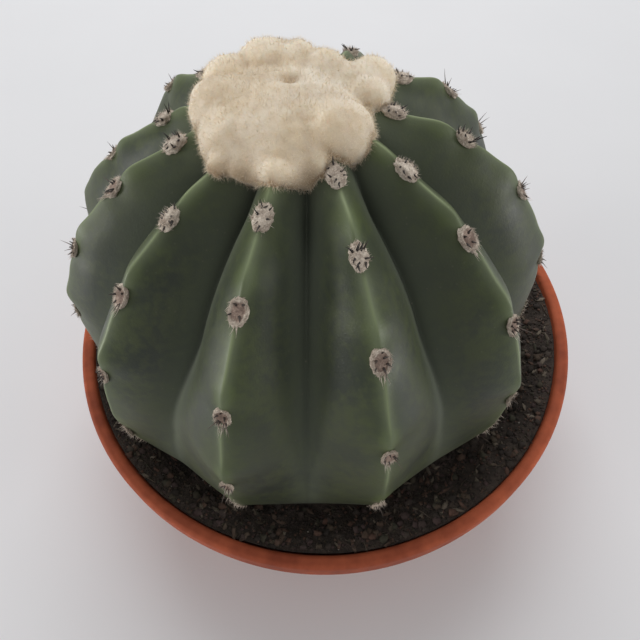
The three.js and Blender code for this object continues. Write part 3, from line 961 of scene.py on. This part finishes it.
# x, y, z and radius of each lobe of wool, and of the small tufts along the front edge
capLobes = [
    (-25.3, 1.5, 154, 7.9), (-24, 12, 153.6, 7), (-14, 16, 154.4, 8.2), (-7, 15.2, 154.4, 8),
    (0, 12, 154.4, 7.4), (5.8, 9, 153.6, 6.6), (12.1, 9.8, 155, 6.4), (11.6, 2.6, 156, 5),
    (2.9, -9, 154.6, 9), (-10.4, -11.4, 152.8, 8.4), (-22, -8, 152.6, 8),
]
capTufts = [
    (-11.1, -22.7, 155.5, 3), (-8.4, -21.7, 154.1, 3), (-5.9, -20.7, 152.4, 3), (-4, -19.7, 151.1, 3),
    (-1.3, -19.2, 154.7, 2.8), (-12.9, -20.8, 154, 3), (-14.5, -18.8, 152.1, 3), (-15.9, -17, 150.8, 3),
    (-19.8, -17.8, 152.7, 2.9), (-24.9, -17.7, 153.8, 2.7), (-24.8, -15.1, 153.5, 2.8),
]
capDarkSpots = [(2.4, -3.6, 3.2), (-27.1, 3.9, 3.4), (-8.0, 3.0, 2.0), (-16.5, 6.0, 4.5)]   # x, y and reach of darker spots; the one at (-8, 3) lies in the dimple and is painted shade there
capShade = {   # how much painted shade darkens the wool, and where: low is down in z, front is along -y
    "seam": 0.1, "seamWidth": 0.12, "dimple": 0.15, "pits": 0.15, "pitDepth": (0.1, 0.8),
    "front": (4, 14), "frontLow": 0.4, "frontHeights": (-161, -150),
    "lip": 0.4, "lipHeights": (-157, -152), "lipFront": (13, 19),
    "nearHalf": 0.14, "nearHalfFront": (-14, 6), "darkSpot": 0.35,
}


# the hollow value is painted shade: darker in the seams between lobes, in the dimple and pits, low at the
# front, under the front lip, over the front half and along the border, with the darker spots added too
def shadeCap(points, rough, dimple, border, torn):
    nearness = np.stack([np.linalg.norm(points - np.array(lobe[:3]), axis=1) / lobe[3] for lobe in capLobes])
    nearness.sort(axis=0)
    seams = peak(nearness[1] - nearness[0], capShade["seamWidth"])
    hollow = capShade["seam"] * seams + capShade["dimple"] * dimple
    hollow += capShade["pits"] * smoothstep(-rough, *capShade["pitDepth"])
    x, y, low, forward = points[:, 0], points[:, 1], -points[:, 2], -points[:, 1]
    front = smoothstep(forward, *capShade["front"])
    hollow += capShade["frontLow"] * smoothstep(low, *capShade["frontHeights"]) * front
    lip = capShade["lip"] * smoothstep(low, *capShade["lipHeights"])
    hollow += lip * smoothstep(forward, *capShade["lipFront"])
    hollow += capShade["nearHalf"] * smoothstep(forward, *capShade["nearHalfFront"])
    hollow += border * (0.4 + 0.5 * front) * (0.8 + 0.8 * torn)
    for darkSpotX, darkSpotY, reach in capDarkSpots:
        hollow += capShade["darkSpot"] * peak(np.hypot(x - darkSpotX, y - darkSpotY), reach)
    return np.clip(hollow, 0, 1)


def makeCap(body):
    spheres = []
    for x, y, z, r in capLobes + capTufts:
        spheres.append(addPrimitive(bpy.ops.mesh.primitive_ico_sphere_add, "lobe", subdivisions=4,
                                    radius=r * mm, location=(x * mm, y * mm, z * mm)))
    spheres.append(addPrimitive(bpy.ops.mesh.primitive_ico_sphere_add, "middle", subdivisions=5, radius=mm,
                                location=Vector(capBase["centre"]) * mm, scale=capBase["radii"]))
    for sphere in spheres:
        sphere.select_set(True)
    bpy.ops.object.join()
    wool = bpy.context.object
    wool.name = wool.data.name = "woolCap"
    applyPlace(wool)
    applyModifier(wool, "REMESH", mode="VOXEL", voxel_size=cap["voxel"] * mm)
    applyModifier(wool, "SMOOTH", factor=0.5, iterations=cap["melt"])
    normals = np.empty(len(wool.data.vertices) * 3)
    wool.data.vertices.foreach_get("normal", normals)
    normals = normals.reshape(-1, 3)
    points = pointsOf(wool) / mm
    rough = unevenness(points, cap["lumps"])
    points += normals * (rough + cap["swell"])[:, None]
    away = np.linalg.norm(points[:, :2] - np.array(cap["dimple"]), axis=1)
    dimple = peak(away, cap["dimpleSpan"]) * (points[:, 2] > cap["dimpleAbove"])
    points[:, 2] -= cap["dimpleDepth"] * dimple
    surface = BVHTree.FromObject(body, bpy.context.evaluated_depsgraph_get())
    above = np.full(len(points), 99.0)   # how far each point is over the skin, far where there is none
    for k in range(len(points)):
        hit = surface.ray_cast(Vector((points[k, 0] * mm, points[k, 1] * mm, 0.25)), Vector((0, 0, -1)))
        if hit[0] is not None:
            above[k] = points[k, 2] - hit[0].z / mm
            points[k, 2] += max(-cap["sunk"] - above[k], 0)
    border = peak(above - cap["borderAbove"], cap["borderWidth"]) * (np.abs(normals[:, 2]) < cap["steepest"])
    torn = unevenness(points, cap["ragged"])
    points += normals * (torn * border)[:, None]
    movePoints(wool, points * mm)
    wool.data.shade_smooth()
    # painted shade for the wool, kept in the hollow value
    setValue(wool, "hollow", shadeCap(points, rough, dimple, border, torn))
    setValue(wool, "border", border)
    wool.data.materials.append(woolMaterial())
    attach(wool, "root")
    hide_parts("wool_cap")
    print("wool cap made", len(wool.data.polygons))
    return wool


def makeFuzz(wool):
    draw = random.Random(77)
    border = np.empty(len(wool.data.vertices), dtype=np.float32)
    wool.data.attributes["border"].data.foreach_get("value", border)
    faces = [face for face in wool.data.polygons if face.normal.z > -0.3]
    edging = [face for face in wool.data.polygons if border[face.vertices[0]] > 0.5]
    strands = []

    def addStrands(count, places, spread, lengths, lowered):
        areas = np.cumsum([face.area for face in places])
        for k in range(count):
            face = places[int(np.searchsorted(areas, draw.random() * areas[-1]))]
            normal = np.array(face.normal)
            side = np.array([draw.uniform(-1, 1), draw.uniform(-1, 1), draw.uniform(-1, 1) - lowered])
            direction = normal * draw.uniform(*spread) + side
            root = np.array(face.center) - normal * cap["fuzzRoot"] * mm
            matrix = strandMatrix(root, direction, normal, draw.uniform(*lengths), cap["fuzzRadius"])
            strands.append((draw.randrange(3), matrix, draw.random()))

    addStrands(cap["fuzz"], faces, (0.1, 0.6), cap["fuzzLength"], 0)
    addStrands(cap["fringe"], edging, (0.5, 1.0), cap["fringeLength"], 0.5)
    fuzz = copiesOf("capFuzz", strandModels, strands)
    fuzz.data.materials.append(hairMaterial("capHair"))
    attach(fuzz, "root")
    print("cap fuzz made", len(fuzz.data.polygons))


woolCap = makeCap(cactusBody)
makeFuzz(woolCap)

soil = {
    "gap": 0.3, "segments": 360, "rings": (14, 46, 8, 4),   # in the hollow, on top, down the wall, below
    "atLip": 1.9, "rises": (68, 84.5), "edgeDrop": 0.5, "lowestWall": 6.0,
    "lumps": ((11.0, 21, 1.1), (4.2, 22, 0.8), (1.7, 23, 0.5)), "calm": (0.6, 78, 84),
    "footPolars": (95.0, 179.0), "halvings": 30, "shadowGap": 1.2, "spots": (46, 84.3), "sunk": 0.12,
    "fibres": 300, "fibreLength": (2.5, 9.0), "fibreRadius": (0.09, 0.22), "fibreAbove": 0.25,
}


def bodyEdgeAt(turns, z):   # where the skin of the body is, all round, at one height
    across = np.empty(len(turns))
    number = np.zeros(len(turns), dtype=int)
    for k, degrees in enumerate(turns):
        for rib in range(len(ribs)):
            turn = (degrees - ribTurn[rib]) % 360 / ribGap[rib]
            fold = ribFold[rib, 1]
            if turn < 1:
                number[k] = rib
                across[k] = turn / (2 * fold) if turn < fold else 1 - (1 - turn) / (2 - 2 * fold)
    low, high = (np.full(len(turns), polar) for polar in soil["footPolars"])
    for halving in range(soil["halvings"]):
        middle = (low + high) / 2
        tooHigh = bodySurface(number, across, middle)[:, 2] > z
        low, high = np.where(tooHigh, middle, low), np.where(tooHigh, high, middle)
    return bodySurface(number, across, (low + high) / 2)[:, :2]


def insideRadius(z):
    slope = min(max((z - lipUnder) / (bowl["lipHeight"] - bowl["lipRound"]), 0), 1)
    inner = wallRadius(z) - bowl["wall"]
    return (inner + (bowl["radius"] - bowl["lipWidth"] - inner) * slope) * bowl["shrink"] - soil["gap"]


def soilHeight(points):   # heaped against the lip, lower round the plant
    away = np.hypot(points[:, 0], points[:, 1])
    rise = bowl["height"] - soil["atLip"] - plant["soilTop"]
    flat = np.column_stack([points[:, :2], np.zeros(len(points))])
    calm = 1 - soil["calm"][0] * smoothstep(away, *soil["calm"][1:])
    level = plant["soilTop"] + rise * smoothstep(away, *soil["rises"])
    return level + unevenness(flat, soil["lumps"]) * calm


def makeSoil():
    hollowRings, topRings, wallRings, floorRings = soil["rings"]
    topEnd = hollowRings + topRings
    wallEnd = topEnd + wallRings
    rings = wallEnd + floorRings
    ground, ring, column = sphereGrid("soil", soil["segments"], rings)
    turns = np.arange(soil["segments"]) * 360 / soil["segments"]
    heading = np.radians(turns)
    outward = np.stack([np.sin(heading), -np.cos(heading)], axis=-1)
    middle = np.array(plant["axis"])
    contact = bodyEdgeAt(turns, plant["soilTop"]) - middle
    start = middle + contact * (1 + soil["gap"] / np.linalg.norm(contact, axis=1)[:, None])
    hollowFloor = plant["widest"] - plant["down"] - soil["gap"]
    floorZ = bowl["wall"] + soil["gap"]
    edgeZ = bowl["height"] - soil["atLip"] - soil["edgeDrop"]
    end = outward * insideRadius(edgeZ)
    points = np.zeros((len(ring), 3))
    for k in range(rings + 1):
        level = 0
        if k <= hollowRings:
            rise = 1 - math.cos(k / hollowRings * math.pi / 2)
            level = hollowFloor + (plant["soilTop"] - hollowFloor) * rise
            away = bodyEdgeAt(turns, level + 0.02) - middle if k else np.zeros((len(turns), 2))
            reach = np.maximum(np.linalg.norm(away, axis=1), 1)[:, None]
            flatRing = middle + away * (1 + soil["gap"] / reach)
        elif k <= topEnd:
            flatRing = start + (end - start) * ((k - hollowRings) / topRings)
        elif k <= wallEnd:
            level = edgeZ + (floorZ - edgeZ) * ((k - topEnd) / wallRings)
            flatRing = outward * insideRadius(max(level, soil["lowestWall"]))
        else:
            level = floorZ
            flatRing = outward * insideRadius(soil["lowestWall"]) * (1 - (k - wallEnd) / floorRings)
        here = ring == k
        points[here, :2] = flatRing[column[here]]
        points[here, 2] = level
    top = (ring > hollowRings) & (ring <= topEnd)
    points[top, 2] = soilHeight(points[top])
    movePoints(ground, points * mm)
    pick(ground)
    bpy.ops.object.mode_set(mode="EDIT")
    turnFacesOut()
    ground.data.shade_smooth()
    ground.data.materials.append(peatMaterial())
    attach(ground, "root")
    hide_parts("soil")
    print("soil made", len(ground.data.polygons))


crumbModels = [   # name, seed, stretch and fineness
    ("crumb", 31, (1, 0.9, 0.7), 1), ("crumb", 32, (1, 0.7, 0.6), 1),
    ("chip", 33, (1.6, 0.8, 0.3), 2), ("chip", 34, (2.2, 0.6, 0.35), 2),
    ("clod", 35, (1, 0.9, 0.7), 2), ("clod", 36, (1, 0.8, 0.75), 2),
]
crumbKinds = {   # the tint is its lowest value and how far it goes up from there
    "crumb": {"count": 5200, "models": (0, 1), "size": (0.25, 0.7), "tint": (0.0, 0.62)},
    "chip": {"count": 420, "models": (2, 3), "size": (0.5, 1.1), "tint": (0.4, 0.5)},
    "grain": {"count": 70, "models": (0, 1), "size": (0.2, 0.45), "tint": (1.0, 0.0)},
    "clod": {"count": 520, "models": (4, 5), "size": (0.7, 1.4), "tint": (0.0, 0.6)},
}


def crumbModel(name, seed, stretch, fineness):
    piece = addPrimitive(bpy.ops.mesh.primitive_ico_sphere_add, name, subdivisions=fineness, radius=1)
    points = pointsOf(piece)
    points *= (1 + 0.9 * lumps(points, 0.7, seed))[:, None]
    movePoints(piece, points * np.array(stretch))
    return trianglesOf(piece)


stemEdge = bodyEdgeAt(np.arange(360), plant["soilTop"] + 1) - np.array(plant["axis"])
stemReach = np.linalg.norm(stemEdge, axis=1)
stemTurn = np.degrees(np.arctan2(stemEdge[:, 0], -stemEdge[:, 1])) % 360
stemOrder = np.argsort(stemTurn)


def spotOnSoil(draw):   # anywhere clear of the stem
    nearest, furthest = soil["spots"]
    while True:
        heading = math.radians(draw.random() * 360)
        r = math.sqrt(draw.uniform(nearest ** 2, furthest ** 2))
        spot = np.array([r * math.sin(heading), -r * math.cos(heading)])
        away = spot - np.array(plant["axis"])
        turn = math.degrees(math.atan2(away[0], -away[1])) % 360
        edge = np.interp(turn, stemTurn[stemOrder], stemReach[stemOrder], period=360)
        if np.linalg.norm(away) > edge + soil["shadowGap"]:
            return spot


def makeCrumbs():
    draw = random.Random(5)
    models = [crumbModel(*values) for values in crumbModels]
    kinds = [kind for kind, values in crumbKinds.items() for k in range(values["count"])]
    spots = np.array([spotOnSoil(draw) for kind in kinds])
    places = []
    for kind, spot, level in zip(kinds, spots, soilHeight(spots)):
        values = crumbKinds[kind]
        model = draw.choice(values["models"])
        size = draw.uniform(*values["size"])
        tilt = Euler((draw.uniform(-0.5, 0.5), draw.uniform(-0.5, 0.5), draw.uniform(0, 6.28))).to_matrix()
        axes = [np.array(tilt.col[k]) for k in range(3)]
        place = np.array([spot[0], spot[1], level + size * soil["sunk"]]) * mm
        shade = dict(crumb=draw.random(), chip=draw.random(), clod=draw.random(), grain=0)[kind]
        tint = values["tint"][0] + shade * values["tint"][1]
        places.append((model, placeMatrix(place, axes, (size * mm,) * 3), tint))
    crumbs = copiesOf("soilCrumbs", models, places)
    crumbs.data.materials.append(crumbMaterial())
    fibres = []
    for k in range(soil["fibres"]):
        spot = spotOnSoil(draw)
        level = soilHeight(spot[None, :])[0]
        heading = draw.uniform(0, 2 * math.pi)
        direction = np.array([math.cos(heading), math.sin(heading), draw.uniform(-0.05, 0.3)])
        root = np.array([spot[0], spot[1], level + soil["fibreAbove"]]) * mm
        side = np.array([-math.sin(heading), math.cos(heading), draw.uniform(-0.3, 0.6)])
        length, model = draw.uniform(*soil["fibreLength"]), draw.randrange(3)
        matrix = strandMatrix(root, direction, side, length, draw.uniform(*soil["fibreRadius"]))
        fibres.append((model, matrix, draw.random()))
    strands = copiesOf("soilFibres", strandModels, fibres)
    strands.data.materials.append(hairMaterial("rootFibre"))
    for piece in (crumbs, strands):
        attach(piece, "root")
    print("crumbs made", len(crumbs.data.polygons))


makeSoil()
makeCrumbs()

paleFloor = {   # size in metres
    "size": 4, "shader": {"Roughness": 0.6}, "first": (227, 227, 229), "second": (233, 233, 235),
    "patch": (3.0, 0.2),
}


def makeFloor():
    floor = addPrimitive(bpy.ops.mesh.primitive_plane_add, "floor",
                         size=paleFloor["size"], location=(0, 0, 0))
    coat = Coat("paleFloor", paleFloor["shader"])
    patches = coat.spread(coat.mottle(*paleFloor["patch"]), 0.3, 0.7)
    floor.data.materials.append(coat.finish(coat.mix(patches, paleFloor["first"], paleFloor["second"])))


makeFloor()
print("floor made")
